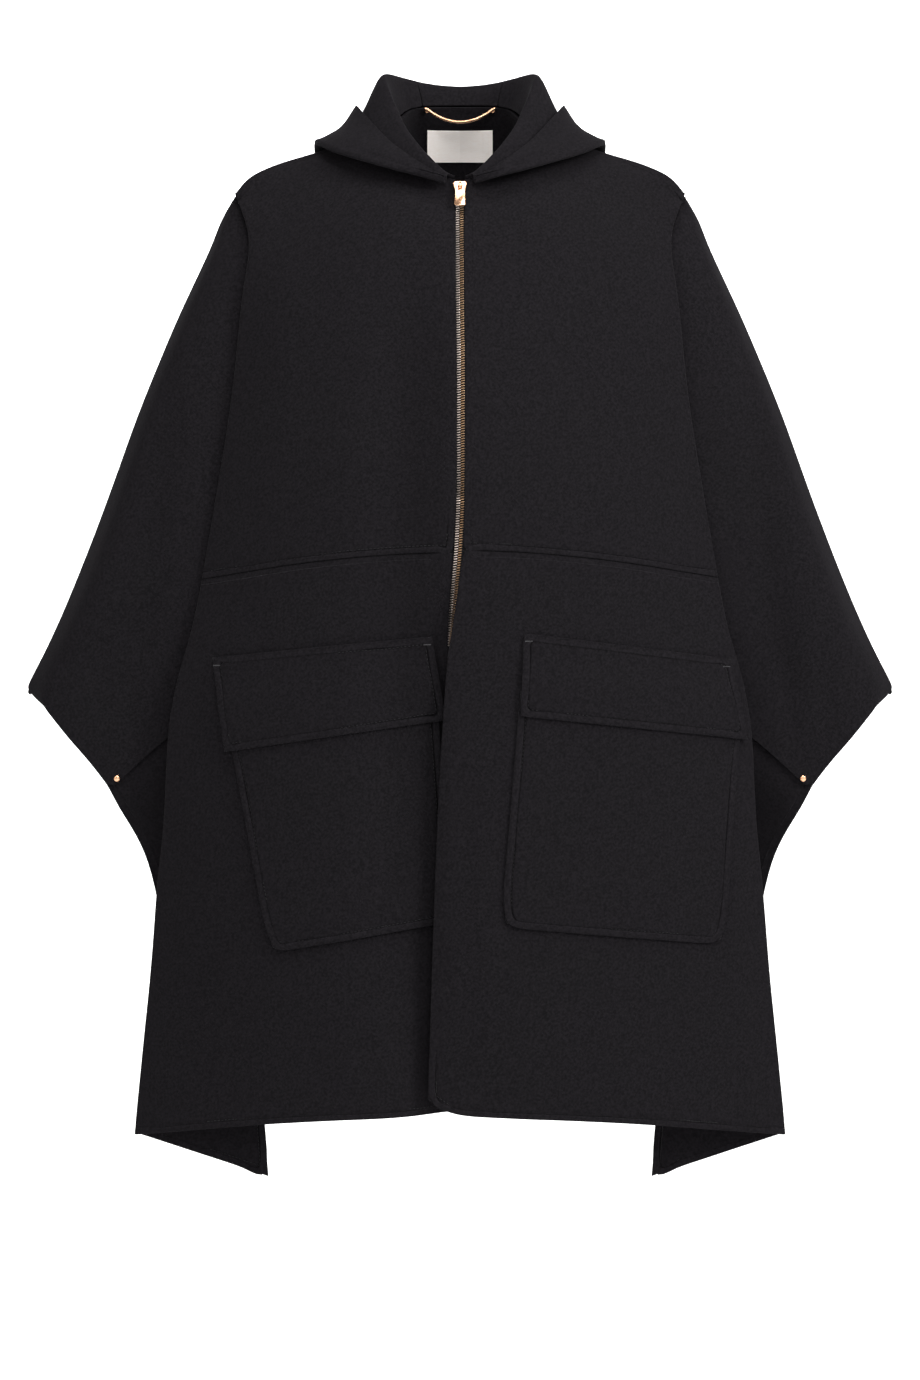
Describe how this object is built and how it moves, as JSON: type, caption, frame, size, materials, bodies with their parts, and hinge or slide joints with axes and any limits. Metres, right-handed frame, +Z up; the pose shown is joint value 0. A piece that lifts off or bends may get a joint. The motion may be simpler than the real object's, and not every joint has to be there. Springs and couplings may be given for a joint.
{
  "type": "hooded wool cape",
  "caption": "Hooded black wool cape with wide wing sleeves, a long front zip, flapped patch pockets and a hood worn down, held in its worn shape.",
  "frame": {"origin": "middle of the neck's base, between the tops of the shoulders, where the wearer carries it", "axes": "+Z up along the garment's height, the front faces -Y, +X is the wearer's left"},
  "size_m": [0.886, 0.3115, 1.1302],
  "materials": {
    "wool": "matte brushed double wool, near black",
    "zip_tape": "black woven tape",
    "rose_gold": "polished pale rose gold plate",
    "woven_label": "cream satin weave, bare"
  },
  "bodies": {
    "garment": {"upper_front_right": "wool", "upper_front_left": "wool", "lower_front_right": "wool", "lower_front_left": "wool", "wing_front_right": "wool", "wing_front_left": "wool", "back": "wool", "pocket_right": "wool", "pocket_flap_right": "wool", "pocket_left": "wool", "pocket_flap_left": "wool", "hood_side_right": "wool", "hood_side_left": "wool", "hood_centre": "wool", "zip_chain": "rose_gold", "hanger_chain": "rose_gold", "zip_slider": "rose_gold", "zip_stop_right": "rose_gold", "zip_stop_left": "rose_gold", "stud_right": "rose_gold", "stud_cap_right": "rose_gold", "stud_left": "rose_gold", "stud_cap_left": "rose_gold", "hanger_stud_right": "rose_gold", "hanger_stud_left": "rose_gold", "zip_tape_right": "zip_tape", "zip_tape_left": "zip_tape", "label": "woven_label"},
    "pull": {"zip_pull": "rose_gold"}
  },
  "joints": [
    {"name": "pull_hinge", "type": "hinge", "parent": "garment", "child": "pull", "pos_m": [0, -0.08304, -0.03253], "axis": [-1, 0, 0], "range_deg": [0, 150]}
  ]
}
